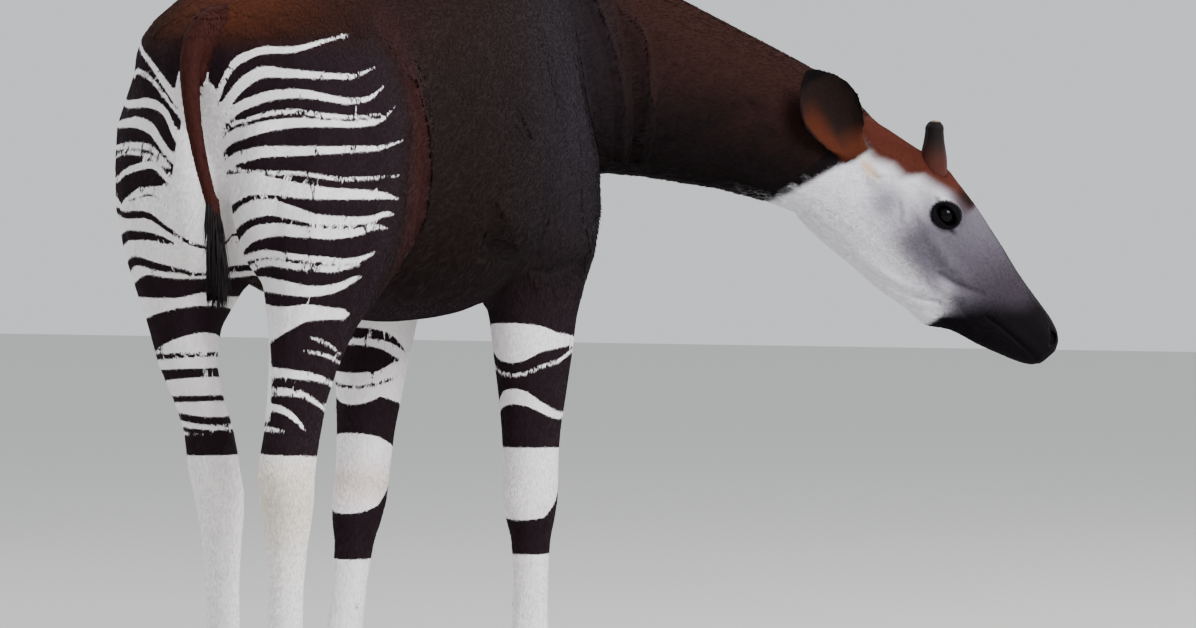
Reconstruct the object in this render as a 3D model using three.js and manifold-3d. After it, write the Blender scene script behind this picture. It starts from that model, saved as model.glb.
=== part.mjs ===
// A life-size okapi, standing with its neck bent to the right and its head lowered to browse.
// Millimetres, +X forwards along the body, +Y to the animal's left, +Z up, the floor at Z = 0.
import * as THREE from "three";
import { LoftGeometry } from "three/addons/geometries/LoftGeometry.js";
import { mergeVertices } from "three/addons/utils/BufferGeometryUtils.js";
import Module from "manifold-3d";

const wasm = await Module();
wasm.setup();

// Driving dimensions.
const withersHeight = 1515; // highest point of the back, over the shoulder blades
const coronetHeight = 56; // where a foot meets its hooves
const gap = 0.3; // clearance where two sub-parts touch
const bodySegments = 28; // facets round the torso and the head
const neckSegments = 24;
const legSegments = 16;

// Colours of the coat, the horn and the eyes.
const coatBrown = 0x2b1a17;
const coatBlack = 0x1d191d;
const legWhite = 0xe9e3dc;
const faceGrey = 0xb5aeb4;
const tailBrown = 0x4a2216;
const hoofGrey = 0x3a3330;
const earBrown = 0x3a1f18;
const eyeBlack = 0x0b0908;
const ossiconeBrown = 0x3f2219;

// Where the neck and the head go. The head turns 65 degrees to the right and hangs 50 degrees down.
const headTurn = THREE.MathUtils.degToRad(-65);
const headDrop = THREE.MathUtils.degToRad(49.9);
const headLength = 552;
const poll = new THREE.Vector3(961, -513, 1125);

const forwardAxis = new THREE.Vector3(1, 0, 0);
const leftAxis = new THREE.Vector3(0, 1, 0);
const upAxis = new THREE.Vector3(0, 0, 1);
const downAxis = new THREE.Vector3(0, 0, -1);
const heading = new THREE.Vector3(Math.cos(headTurn), Math.sin(headTurn), 0);
const headForward = heading.clone().multiplyScalar(Math.cos(headDrop)).addScaledVector(upAxis, -Math.sin(headDrop));
const headUp = heading.clone().multiplyScalar(Math.sin(headDrop)).addScaledVector(upAxis, Math.cos(headDrop));
const headLeft = new THREE.Vector3().crossVectors(headUp, headForward);

// A point given along, left of and above the head's own axes.
function headPoint(along, left, above) {
  return poll.clone()
    .addScaledVector(headForward, along)
    .addScaledVector(headLeft, left)
    .addScaledVector(headUp, above);
}

// Smooth interpolation through rows of numbers whose first column rises or falls steadily.
function through(rows) {
  const at = rows.map((row) => row[0]);
  const slope = (column, i) => (rows[i + 1][column] - rows[i][column]) / (at[i + 1] - at[i]);
  const tangent = (column, i) => {
    if (i === 0) return slope(column, 0);
    if (i === rows.length - 1) return slope(column, i - 1);
    const before = slope(column, i - 1);
    const after = slope(column, i);
    return before * after <= 0 ? 0 : (2 * before * after) / (before + after);
  };
  const rising = at[at.length - 1] > at[0];
  return (where) => {
    let i = 0;
    while (i < rows.length - 2 && (rising ? where > at[i + 1] : where < at[i + 1])) i += 1;
    const span = at[i + 1] - at[i];
    const t = (where - at[i]) / span;
    return rows[0].map((_, column) => {
      if (column === 0) return where;
      const start = rows[i][column];
      const end = rows[i + 1][column];
      const out = tangent(column, i) * span;
      const into = tangent(column, i + 1) * span;
      return (
        start * (2 * t ** 3 - 3 * t ** 2 + 1) + out * (t ** 3 - 2 * t ** 2 + t) +
        end * (3 * t ** 2 - 2 * t ** 3) + into * (t ** 3 - t ** 2)
      );
    });
  };
}

// One closed section: a rounded outline that reaches a different distance along each half axis.
function section(centre, across, up, reach, segments, power = 2.2) {
  const points = [];
  for (let i = 0; i < segments; i += 1) {
    const angle = (i / segments) * Math.PI * 2;
    const c = Math.cos(angle);
    const s = Math.sin(angle);
    const side = Math.sign(c) * Math.abs(c) ** (2 / power) * (c > 0 ? reach.left : reach.right);
    const rise = Math.sign(s) * Math.abs(s) ** (2 / power) * (s > 0 ? reach.top : reach.bottom);
    points.push(centre.clone().addScaledVector(across, side).addScaledVector(up, rise));
  }
  return points;
}

// A closed three.js geometry as a solid, with its faces turned outwards.
function solidOf(geometry) {
  const bare = new THREE.BufferGeometry();
  bare.setAttribute("position", geometry.attributes.position);
  bare.setIndex(geometry.index);
  const merged = mergeVertices(bare, 1e-3);
  const build = (indices) => new wasm.Manifold(new wasm.Mesh({
    numProp: 3,
    vertProperties: new Float32Array(merged.attributes.position.array),
    triVerts: new Uint32Array(indices),
  }));
  const indices = Array.from(merged.index.array);
  const made = build(indices);
  return made.volume() > 0 ? made : build(indices.reverse());
}

const loft = (sections) => solidOf(new LoftGeometry(sections, { capStart: true, capEnd: true }));

// An ellipsoid with its half axes along a frame of three directions.
function ellipsoid(centre, directions, radii, across = 16, down = 10) {
  const geometry = new THREE.SphereGeometry(1, across, down);
  const [a, b, c] = directions.map((direction, i) => direction.clone().multiplyScalar(radii[i]));
  geometry.applyMatrix4(new THREE.Matrix4().makeBasis(a, b, c).setPosition(centre));
  return solidOf(geometry);
}

const union = (...solids) => solids.reduce((all, next) => all.add(next));

// What a cut leaves over: only the largest closed piece stays.
function largest(solid) {
  return solid.decompose().reduce((best, next) => (next.volume() > best.volume() ? next : best));
}

// A plane faces the side that it keeps.
const plane = (normal, point) => ({ normal: normal.clone().normalize(), point });

function keepSide(solid, { normal, point }, clearance = 0) {
  return solid.trimByPlane(normal.toArray(), normal.dot(point) + clearance);
}

// Torso: upright sections along X, each with its top, widest level, underside and half width.
const torsoStations = [
  [-636, 1240, 1205, 1165, 34],
  [-624, 1262, 1205, 1115, 88],
  [-596, 1292, 1198, 1040, 152],
  [-540, 1328, 1186, 955, 196],
  [-470, 1360, 1166, 878, 218],
  [-380, 1386, 1135, 826, 223],
  [-260, 1407, 1095, 790, 232],
  [-120, 1418, 1055, 765, 241],
  [20, 1428, 1035, 757, 243],
  [160, 1455, 1035, 764, 230],
  [280, 1495, 1050, 785, 207],
  [370, withersHeight, 1070, 806, 188],
  [450, 1508, 1080, 834, 170],
  [530, 1465, 1075, 872, 148],
  [590, 1380, 1065, 915, 118],
  [624, 1280, 1055, 960, 80],
  [640, 1190, 1060, 1000, 40],
];

function torsoSolid() {
  const shape = through(torsoStations);
  const places = torsoStations.map((row) => row[0]);
  for (let x = -570; x < 600; x += 45) {
    if (places.every((place) => Math.abs(place - x) > 20)) places.push(x);
  }
  places.sort((a, b) => a - b);
  return loft(places.map((x) => {
    const [, top, middle, bottom, half] = shape(x);
    const reach = { left: half, right: half, top: top - middle, bottom: middle - bottom };
    return section(new THREE.Vector3(x, 0, middle), leftAxis, upAxis, reach, bodySegments, 2.15);
  }));
}

// Neck: sections square to a curve that bends to the right, each with its crest, throat and half width.
const neckCurve = new THREE.CatmullRomCurve3([
  new THREE.Vector3(390, 0, 1235),
  new THREE.Vector3(545, -32, 1228),
  new THREE.Vector3(680, -125, 1196),
  new THREE.Vector3(795, -262, 1143),
  new THREE.Vector3(895, -400, 1080),
  new THREE.Vector3(975, -522, 1006),
], false, "centripetal");

const neckStations = [
  [0, 235, 225, 120],
  [0.2, 220, 222, 130],
  [0.4, 188, 186, 115],
  [0.6, 154, 154, 96],
  [0.8, 128, 132, 82],
  [0.92, 99, 124, 77],
  [1, 76, 118, 72],
];

function neckSolid() {
  const shape = through(neckStations);
  const rings = 14;
  const sections = [];
  for (let i = 0; i <= rings; i += 1) {
    const t = i / rings;
    const [, crest, throat, half] = shape(t);
    const along = neckCurve.getTangent(t);
    const across = new THREE.Vector3().crossVectors(upAxis, along).normalize();
    const up = new THREE.Vector3().crossVectors(along, across).normalize();
    const reach = { left: half, right: half, top: crest, bottom: throat };
    sections.push(section(neckCurve.getPoint(t), across, up, reach, neckSegments, 2.1));
  }
  return loft(sections);
}

// Head: sections along its own axis, each with its top, widest level, underside and half width.
const headStations = [
  [-40, -24, -75, -150, 62],
  [0, -5, -72, -204, 72],
  [60, 14, -60, -226, 79],
  [120, 30, -52, -221, 83],
  [180, 44, -36, -209, 86],
  [250, 42, -26, -199, 82],
  [300, 36, -32, -185, 70],
  [350, 30, -40, -164, 60],
  [400, 22, -48, -142, 53],
  [450, 18, -48, -124, 48],
  [500, 15, -40, -100, 47],
  [530, 8, -36, -84, 42],
  [headLength - 4, -4, -36, -70, 33],
  [headLength + 5, -18, -38, -56, 20],
];

function headLoft(extra = 0) {
  const shape = through(headStations);
  const places = headStations.map((row) => row[0]);
  places.push(30, 90, 150, 215, 275, 325, 375, 425, 475, 515, 540);
  places.sort((a, b) => a - b);
  return loft(places.map((along) => {
    const [, top, middle, bottom, half] = shape(along);
    const reach = {
      left: half + extra,
      right: half + extra,
      top: top - middle + extra,
      bottom: middle - bottom + extra,
    };
    return section(headPoint(along, 0, middle), headLeft, headUp, reach, bodySegments, 2.25);
  }));
}

// Eyes: a ball in a socket, under lids that leave an almond opening.
const eyeRadius = 22;
const eye = { along: 230, out: 62, above: -15 };
const lidRadii = [36, 27, 20];
const lidOpening = [25, 14, 40];

const headFrame = (side) => [headForward, headUp, headLeft.clone().multiplyScalar(side)];
const eyeCentre = (side) => headPoint(eye.along, side * eye.out, eye.above);
const lidCentre = (side) => headPoint(eye.along, side * (eye.out + 9), eye.above);

// Nostrils: a slanted pit on each side of the end of the muzzle.
const nostril = { along: 534, out: 27, above: -6, radii: [15, 5, 12] };

function nostrilPit(side) {
  const slant = headForward.clone().addScaledVector(headUp, -0.45).normalize();
  const outward = headLeft.clone().multiplyScalar(side);
  const across = new THREE.Vector3().crossVectors(outward, slant).normalize();
  const centre = headPoint(nostril.along, side * nostril.out, nostril.above);
  return ellipsoid(centre, [slant, across, outward], nostril.radii, 10, 6);
}

// Line of the mouth: a thin slot that follows the muzzle and goes only skin deep.
const mouth = { corner: 436, height: -72, rise: 14, width: 3, depth: 6 };

function mouthLine() {
  const length = headLength + 40 - mouth.corner;
  const slab = new THREE.BoxGeometry(length, 160, mouth.width);
  const tilted = headForward.clone().multiplyScalar(length).addScaledVector(headUp, mouth.rise).normalize();
  const up = new THREE.Vector3().crossVectors(tilted, headLeft).normalize();
  const centre = headPoint(mouth.corner, 0, mouth.height).addScaledVector(tilted, length / 2);
  slab.applyMatrix4(new THREE.Matrix4().makeBasis(tilted, headLeft, up).setPosition(centre));
  return solidOf(slab).subtract(headLoft(-mouth.depth));
}

function headDetails(head) {
  let shaped = head;
  for (const side of [1, -1]) {
    const outward = headFrame(side);
    shaped = shaped.add(ellipsoid(lidCentre(side), outward, lidRadii, 20, 12));
  }
  for (const side of [1, -1]) {
    const outward = headFrame(side);
    const socket = [eyeRadius + gap, eyeRadius + gap, eyeRadius + gap];
    shaped = shaped.subtract(ellipsoid(eyeCentre(side), outward, socket, 16, 10));
    const opening = headPoint(eye.along, side * (eye.out + 30), eye.above);
    shaped = shaped.subtract(ellipsoid(opening, outward, lidOpening, 20, 12));
    shaped = shaped.subtract(nostrilPit(side));
  }
  return shaped.subtract(mouthLine());
}

const eyeball = (side) => ellipsoid(eyeCentre(side), headFrame(side), [eyeRadius, eyeRadius, eyeRadius], 16, 10);

// Ossicones: short horns over the eyes that lean backwards and end in a bare tip.
const ossicone = { along: 152, out: 42, above: 24, length: 92, root: 25, waist: 15, tip: 9 };

function ossiconeSolid(side, extra = 0) {
  const lean = headForward.clone().multiplyScalar(-0.74).addScaledVector(headUp, 0.67)
    .addScaledVector(headLeft, side * 0.08).normalize();
  const across = new THREE.Vector3().crossVectors(lean, headForward).normalize();
  const ahead = new THREE.Vector3().crossVectors(across, lean).normalize();
  const base = headPoint(ossicone.along, side * ossicone.out, ossicone.above);
  const shape = through([
    [-0.3, ossicone.root],
    [0.15, ossicone.root],
    [0.5, 18.5],
    [0.78, ossicone.waist],
    [0.86, ossicone.waist + 1],
    [0.96, ossicone.tip],
    [1, 3],
  ]);
  const sections = [-0.3, 0.15, 0.35, 0.55, 0.78, 0.86, 0.96, 1].map((t) => {
    const radius = shape(t)[1] + extra;
    const reach = { left: radius * 0.9, right: radius * 0.9, top: radius, bottom: radius };
    const middle = base.clone().addScaledVector(lean, ossicone.length * t - (t < 0 ? extra : 0));
    return section(middle, across, ahead, reach, 12, 2);
  });
  return loft(sections.reverse());
}

// Ears: a leaf-shaped cup that stands up from behind the cheek, its opening turned outwards.
const ear = { along: 42, out: 63, above: -73, length: 212, width: 124, cup: 40, wall: 6 };

function earSolid(side, extra = 0) {
  const root = headPoint(ear.along, side * ear.out, ear.above);
  const axis = headForward.clone().multiplyScalar(-0.95).addScaledVector(headUp, 0.17)
    .addScaledVector(headLeft, side * 0.5).normalize();
  const opening = headLeft.clone().multiplyScalar(side).addScaledVector(headUp, 0.12);
  const across = new THREE.Vector3().crossVectors(axis, opening).normalize();
  const outward = new THREE.Vector3().crossVectors(across, axis).normalize();
  const shape = through([
    [0, 0.30, 0.55],
    [0.12, 0.42, 0.75],
    [0.35, 0.86, 1],
    [0.58, 1, 0.9],
    [0.78, 0.78, 0.6],
    [0.92, 0.42, 0.3],
    [1, 0.10, 0.12],
  ]);
  const steps = 8;
  const sections = [0, 0.06, 0.14, 0.26, 0.4, 0.55, 0.7, 0.82, 0.92, 1].map((t) => {
    const [, widthShare, depthShare] = shape(t);
    const half = (ear.width / 2) * widthShare;
    const deep = ear.cup * depthShare;
    const open = THREE.MathUtils.smoothstep(t, 0.05, 0.3);
    const wall = ear.wall * (t > 0.9 ? 0.6 : 1);
    const middle = root.clone().addScaledVector(axis, ear.length * t - (t === 0 ? extra : 0));
    const points = [];
    for (let i = 0; i <= steps; i += 1) {
      const angle = Math.PI * (i / steps);
      points.push(middle.clone()
        .addScaledVector(across, Math.cos(angle) * (half + extra))
        .addScaledVector(outward, -Math.sin(angle) * (deep + extra) + deep / 2));
    }
    for (let i = 1; i < steps; i += 1) {
      const angle = Math.PI * (1 - i / steps);
      const inner = Math.sin(angle) * Math.max(deep - wall, 1) * open - Math.sin(angle) * 6 * (1 - open);
      points.push(middle.clone()
        .addScaledVector(across, Math.cos(angle) * Math.max(half - wall * 0.6, 1))
        .addScaledVector(outward, -inner + deep / 2 + extra));
    }
    return points;
  });
  return loft(sections);
}

// Tail: a thin round tail that hangs down between the thighs and ends in a tuft.
const tailCurve = new THREE.CatmullRomCurve3([
  new THREE.Vector3(-545, 0, 1268),
  new THREE.Vector3(-606, 10, 1272),
  new THREE.Vector3(-653, 20, 1215),
  new THREE.Vector3(-661, 16, 1130),
  new THREE.Vector3(-659, 0, 1040),
  new THREE.Vector3(-651, -22, 950),
], false, "centripetal");
const tailRadii = [[0, 27], [0.2, 27], [0.4, 21], [0.7, 15], [1, 12]];
const tuft = { length: 165, rings: 3, locksPerRing: 6, seed: 7 };

function tailSolid(extra = 0) {
  const shape = through(tailRadii);
  const rings = 12;
  const sections = [];
  for (let i = 0; i <= rings; i += 1) {
    const t = i / rings;
    const radius = shape(t)[1] + extra;
    const along = tailCurve.getTangent(t);
    const across = leftAxis;
    const up = new THREE.Vector3().crossVectors(along, across).normalize();
    const reach = { left: radius, right: radius, top: radius, bottom: radius };
    const middle = tailCurve.getPoint(t).addScaledVector(along, t === 0 ? -extra : 0);
    sections.push(section(middle, across, up, reach, 12, 2));
  }
  return loft(sections);
}

// A seeded source of numbers from 0 to 1.
function seededRandom(seed) {
  let state = seed;
  return () => {
    state = (state * 1664525 + 1013904223) % 4294967296;
    return state / 4294967296;
  };
}

// One flat tapered lock that grows from the tail and bends down to its tip.
function tuftLock(start, facing, length, wide, spread) {
  const across = new THREE.Vector3().crossVectors(upAxis, facing).normalize();
  const shape = [[-0.12, 0.6, 0.7], [0.1, 0.9, 1], [0.4, 1, 0.9], [0.75, 0.7, 0.6], [1, 0.15, 0.2]];
  const sections = shape.map(([t, widthShare, depthShare]) => {
    const bow = Math.sin(Math.min(Math.max(t, 0), 1) * Math.PI * 0.75) * spread;
    const middle = start.clone().addScaledVector(upAxis, -t * length).addScaledVector(facing, bow);
    const half = wide * widthShare;
    const thick = 3.2 * depthShare;
    return section(middle, across, facing, { left: half, right: half, top: thick, bottom: thick }, 6, 2);
  });
  return loft(sections);
}

// Tuft: rings of overlapping locks round a core at the end of the tail, the lowest ones the longest.
function tuftLocks() {
  const random = seededRandom(tuft.seed);
  const end = tailCurve.getPoint(1);
  const core = [[-30, 9], [0, 12], [30, 13], [75, 11], [115, 7], [tuft.length * 0.9, 2.5]].map(([down, radius]) => {
    const reach = { left: radius, right: radius, top: radius, bottom: radius };
    return section(end.clone().addScaledVector(upAxis, -down), leftAxis, forwardAxis, reach, 10, 2);
  });
  const locks = [loft(core)];
  for (let ring = 0; ring < tuft.rings; ring += 1) {
    for (let i = 0; i < tuft.locksPerRing; i += 1) {
      const angle = ((i + ring * 0.5 + random() * 0.3) / tuft.locksPerRing) * Math.PI * 2;
      const facing = new THREE.Vector3(Math.cos(angle), Math.sin(angle), 0);
      const start = end.clone().addScaledVector(upAxis, 12 - ring * 34 - random() * 8).addScaledVector(facing, 5);
      const length = (tuft.length - ring * 26) * (0.72 + random() * 0.16);
      locks.push(tuftLock(start, facing, length, 7.5 + random() * 2, 8 + random() * 4));
    }
  }
  return union(...locks);
}

// Legs: level sections, each with its height, front, back, distance from the middle and half width.
const forelegStations = [
  [1340, 410, 300, 92, 40],
  [1200, 485, 245, 108, 74],
  [1050, 535, 204, 116, 90],
  [950, 535, 190, 119, 92],
  [870, 505, 184, 122, 87],
  [815, 465, 194, 124, 78],
  [760, 438, 218, 125, 69],
  [690, 420, 234, 125, 64],
  [620, 403, 250, 124, 57],
  [560, 389, 259, 123, 51],
  [510, 382, 266, 122, 49],
  [470, 380, 268, 122, 49],
  [435, 381, 265, 122, 48],
  [400, 375, 270, 122, 43],
  [365, 365, 284, 122, 36],
  [300, 362, 289, 121, 32],
  [220, 362, 288, 120, 32],
  [178, 367, 280, 120, 36],
  [150, 373, 277, 120, 39],
  [118, 383, 292, 120, 37],
  [88, 399, 310, 120, 39],
  [coronetHeight, 417, 318, 120, 44],
];

const hindlegStations = [
  [1300, -290, -470, 100, 55],
  [1200, -215, -560, 124, 114],
  [1100, -182, -606, 132, 127],
  [1030, -184, -620, 131, 124],
  [960, -208, -622, 131, 119],
  [890, -254, -616, 130, 106],
  [820, -335, -608, 127, 82],
  [760, -402, -600, 122, 62],
  [700, -443, -597, 116, 52],
  [640, -471, -597, 110, 46],
  [590, -482, -604, 107, 44],
  [552, -496, -615, 106, 45],
  [522, -502, -619, 105, 45],
  [482, -505, -609, 104, 45],
  [442, -510, -598, 103, 41],
  [400, -518, -591, 102, 36],
  [330, -524, -589, 101, 31],
  [230, -524, -590, 100, 30],
  [180, -518, -599, 100, 34],
  [150, -512, -601, 100, 37],
  [118, -503, -588, 100, 36],
  [88, -487, -572, 100, 38],
  [coronetHeight, -469, -568, 100, 44],
];

// How each leg departs from its stations down to the floor: how far forwards, and how much slimmer.
const straight = [[1400, 0, 1], [0, 0, 1]];
const legs = [
  { name: "foreleg_right", side: -1, stations: forelegStations, stance: straight },
  {
    name: "foreleg_left",
    side: 1,
    stations: forelegStations,
    stance: [[1400, 0, 1], [1150, 0, 1], [760, -125, 0.86], [450, -190, 0.95], [150, -265, 1], [0, -272, 1]],
  },
  { name: "hindleg_right", side: -1, stations: hindlegStations, stance: straight },
  {
    name: "hindleg_left",
    side: 1,
    stations: hindlegStations,
    stance: [
      [1400, 0, 1], [1000, 0, 1], [850, 0, 0.85], [740, 6, 0.6], [640, 62, 0.62],
      [550, 122, 0.74], [450, 146, 0.86], [150, 150, 1], [0, 150, 1],
    ],
  },
];

// The rounded mass at the back of each thigh, beside the tail.
const buttock = { x: -546, out: 83, z: 1010, radii: [86, 81, 185] };

function legSolid(leg, extra = 0) {
  const shape = through(leg.stations);
  const stance = through(leg.stance);
  const places = leg.stations.map((row) => row[0]);
  const limb = loft(places.map((z) => {
    const [, front, back, out, half] = shape(z);
    const [, forwards, slim] = stance(z);
    const centre = new THREE.Vector3((front + back) / 2 + forwards, leg.side * out, z);
    const depth = ((front - back) / 2) * slim + extra;
    const reach = { left: half + extra, right: half + extra, top: depth, bottom: depth };
    return section(centre, leftAxis, forwardAxis, reach, legSegments, 2.2);
  }));
  if (!leg.name.startsWith("hindleg")) return limb;
  const seat = new THREE.Vector3(buttock.x, leg.side * buttock.out, buttock.z);
  const radii = buttock.radii.map((radius) => radius + extra);
  return limb.add(ellipsoid(seat, [forwardAxis, leftAxis, upAxis], radii, 16, 10));
}

// Hooves: two claws under each foot, rounded behind, pointed ahead and flat below.
const clawLevels = [
  [0, 1, 0.96],
  [12, 1, 1],
  [34, 0.86, 0.98],
  [coronetHeight - gap, 0.7, 0.93],
];

function clawSolid(leg, place) {
  const foot = leg.stations[leg.stations.length - 1];
  const [, front, back, out, half] = foot;
  const forwards = leg.stance[leg.stance.length - 1][1];
  const middle = (front + back) / 2 + forwards;
  const clawHalf = (half - 2) / 2;
  const y = leg.side * out + place * (clawHalf + 2);
  return loft(clawLevels.map(([z, toe, width]) => {
    const slope = (coronetHeight - z) * 0.42;
    const reach = { left: clawHalf * width, right: clawHalf * width, top: 62 * toe + 6, bottom: 48 };
    return section(new THREE.Vector3(middle + slope, y, z), leftAxis, forwardAxis, reach, 14, 1.9);
  }).reverse());
}

// Heights at which a leg leaves the shoulder or the hip, and at which its shank begins.
const legTops = { foreleg: 935, hindleg: 1120 };
const kneeHeights = { foreleg: 486, hindleg: 500 };
const levelPlane = (normal, height) => plane(normal, new THREE.Vector3(0, 0, height));

const okapi = new THREE.Group();

function addNode(name, solid, colour, roughness = 0.75) {
  const mesh = largest(solid).getMesh();
  const geometry = new THREE.BufferGeometry();
  const positions = new Float32Array(mesh.numVert * 3);
  for (let i = 0; i < mesh.numVert; i += 1) {
    positions.set(mesh.vertProperties.subarray(i * mesh.numProp, i * mesh.numProp + 3), i * 3);
  }
  geometry.setAttribute("position", new THREE.BufferAttribute(positions, 3));
  geometry.setIndex(new THREE.BufferAttribute(new Uint32Array(mesh.triVerts), 1));
  const node = new THREE.Mesh(geometry, new THREE.MeshStandardMaterial({ color: colour, roughness, metalness: 0 }));
  node.name = name;
  okapi.add(node);
}

function addLeg(leg) {
  const [limb] = leg.name.split("_");
  const whole = keepSide(legSolid(leg), levelPlane(downAxis, legTops[limb]), gap / 2);
  addNode(`${leg.name}_upper`, keepSide(whole, levelPlane(upAxis, kneeHeights[limb]), gap / 2), coatBlack);
  addNode(`${leg.name}_lower`, keepSide(whole, levelPlane(downAxis, kneeHeights[limb]), gap / 2), legWhite);
  addNode(`${leg.name}_claw_outer`, clawSolid(leg, leg.side), hoofGrey, 0.5);
  addNode(`${leg.name}_claw_inner`, clawSolid(leg, -leg.side), hoofGrey, 0.5);
}

// The torso, neck and head with the shoulders and hips on, and a bed for each leg.
function trunkSolid() {
  const top = (leg) => legTops[leg.name.split("_")[0]];
  const shoulders = legs.map((leg) => keepSide(legSolid(leg), levelPlane(upAxis, top(leg))));
  const beds = legs.map((leg) => keepSide(legSolid(leg, gap), levelPlane(downAxis, top(leg)), -gap / 2));
  return union(torsoSolid(), neckSolid(), headLoft(), ...shoulders).subtract(union(...beds));
}

legs.forEach(addLeg);
const legless = trunkSolid();

const neckBase = plane(new THREE.Vector3(0.84, -0.54, 0), neckCurve.getPoint(0.33));
const pollNormal = neckCurve.getTangent(0.9).add(headForward);
const pollPlane = plane(pollNormal, headPoint(4, 0, -60));
const flipped = ({ normal, point }) => plane(normal.clone().negate(), point);

const bareTorso = keepSide(legless, flipped(neckBase), gap / 2);
const neckAndHead = keepSide(legless, neckBase, gap / 2);
addNode("torso", bareTorso.subtract(tailSolid(gap)), coatBrown);
const earBeds = union(earSolid(1, gap), earSolid(-1, gap));
addNode("neck", keepSide(neckAndHead, flipped(pollPlane), gap / 2).subtract(earBeds), coatBrown);
addNode("tail", union(tailSolid(), tuftLocks()), tailBrown);

let head = headDetails(keepSide(neckAndHead, pollPlane, gap / 2)).subtract(earBeds);
for (const side of [1, -1]) {
  head = head.subtract(ossiconeSolid(side, gap));
  const name = side > 0 ? "left" : "right";
  addNode(`ear_${name}`, earSolid(side), earBrown);
  addNode(`ossicone_${name}`, ossiconeSolid(side), ossiconeBrown);
  addNode(`eye_${name}`, eyeball(side), eyeBlack, 0.08);
}
addNode("head", head, faceGrey);

// The frame's origin is the middle of the base of the whole okapi's bounding box.
const bounds = new THREE.Box3().setFromObject(okapi);
const centre = bounds.getCenter(new THREE.Vector3());
okapi.position.set(-centre.x, -centre.y, -bounds.min.z);

export default okapi;
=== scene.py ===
import math
import time
import bpy
import numpy as np
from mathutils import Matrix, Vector
from mathutils.bvhtree import BVHTree


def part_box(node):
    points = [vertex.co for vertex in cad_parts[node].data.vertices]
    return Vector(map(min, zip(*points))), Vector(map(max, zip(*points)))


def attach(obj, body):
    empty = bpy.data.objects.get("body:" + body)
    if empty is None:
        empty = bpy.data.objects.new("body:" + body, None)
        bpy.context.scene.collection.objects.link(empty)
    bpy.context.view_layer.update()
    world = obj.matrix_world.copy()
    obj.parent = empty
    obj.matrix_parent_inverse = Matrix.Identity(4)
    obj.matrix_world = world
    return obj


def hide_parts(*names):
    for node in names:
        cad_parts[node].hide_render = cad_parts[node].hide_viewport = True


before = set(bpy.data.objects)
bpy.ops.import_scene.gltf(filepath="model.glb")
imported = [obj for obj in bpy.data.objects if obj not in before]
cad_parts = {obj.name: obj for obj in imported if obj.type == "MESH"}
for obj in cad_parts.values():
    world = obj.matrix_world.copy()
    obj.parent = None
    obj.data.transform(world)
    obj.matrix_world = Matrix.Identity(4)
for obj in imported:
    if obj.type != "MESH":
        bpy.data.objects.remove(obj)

startedAt = time.time()
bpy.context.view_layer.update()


def report(stage):
    print(f"{stage}: {time.time() - startedAt:.0f} s")


# The body's own axes: X forwards, Y to its left, with the middle of the body at 0.
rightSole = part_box("hindleg_right_claw_outer")
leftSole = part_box("hindleg_left_claw_outer")
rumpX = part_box("torso")[0].x
bodyOrigin = np.array([rumpX + 0.636, (rightSole[0].y + leftSole[1].y) / 2, 0.0])

# The head's own axes, from the eyes and from how it turns to the right and hangs down.
head = {"turn": math.radians(-65), "drop": math.radians(49.9), "eyeAlong": 0.230, "eyeAbove": -0.015}
heading = np.array([math.cos(head["turn"]), math.sin(head["turn"]), 0.0])
up = np.array([0.0, 0.0, 1.0])
headForward = heading * math.cos(head["drop"]) - up * math.sin(head["drop"])
headUp = heading * math.sin(head["drop"]) + up * math.cos(head["drop"])
headLeft = np.cross(headUp, headForward)


def middleOf(node):
    low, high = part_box(node)
    return np.array((low + high) / 2)


betweenEyes = (middleOf("eye_left") + middleOf("eye_right")) / 2
poll = betweenEyes - headForward * head["eyeAlong"] - headUp * head["eyeAbove"]

legNames = ["foreleg_right", "foreleg_left", "hindleg_right", "hindleg_left"]
fleshNodes = ["torso", "neck", "head", "tail", "ear_left", "ear_right"]
fleshNodes += [f"{leg}_{half}" for leg in legNames for half in ("upper", "lower")]


def selectOnly(*things):
    bpy.ops.object.select_all(action="DESELECT")
    for thing in things:
        thing.select_set(True)
    bpy.context.view_layer.objects.active = things[0]


def copyOfNodes(name, nodes):
    copies = []
    for node in nodes:
        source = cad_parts[node]
        copy = source.copy()
        copy.data = source.data.copy()
        copy.parent = None
        for key in list(copy.keys()):
            del copy[key]
        bpy.context.scene.collection.objects.link(copy)
        copies.append(copy)
    selectOnly(*copies)
    if len(copies) > 1:
        bpy.ops.object.join()
    whole = bpy.context.view_layer.objects.active
    whole.name = name
    whole.data.name = name
    whole.data.materials.clear()
    bpy.ops.object.mode_set(mode="EDIT")
    bpy.ops.mesh.select_all(action="SELECT")
    bpy.ops.mesh.remove_doubles(threshold=0.00001)
    bpy.ops.object.mode_set(mode="OBJECT")
    return whole


def places(thing):
    co = np.empty(len(thing.data.vertices) * 3)
    thing.data.vertices.foreach_get("co", co)
    return co.reshape(-1, 3)


def setPlaces(thing, co):
    thing.data.vertices.foreach_set("co", co.ravel())
    thing.data.update()


def normals(thing):
    out = np.empty(len(thing.data.vertices) * 3)
    thing.data.vertices.foreach_get("normal", out)
    return out.reshape(-1, 3)


# A vertex group whose weights go in twentieths.
def setWeights(thing, name, weights):
    group = thing.vertex_groups.new(name=name)
    steps = np.round(weights * 20).astype(int)
    for step in range(1, 21):
        members = np.nonzero(steps == step)[0]
        if len(members):
            group.add(members.tolist(), step / 20, "REPLACE")


def applied(thing, kind, name, **settings):
    selectOnly(thing)
    modifier = thing.modifiers.new(name, kind)
    for key, value in settings.items():
        setattr(modifier, key, value)
    bpy.ops.object.modifier_apply(modifier=name)


# From 0 at low to 1 at high, without a corner at either end.
def smooth(low, high, value):
    t = np.clip((value - low) / (high - low), 0.0, 1.0)
    return t * t * (3 - 2 * t)


def inBody(co):
    return co - bodyOrigin


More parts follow.
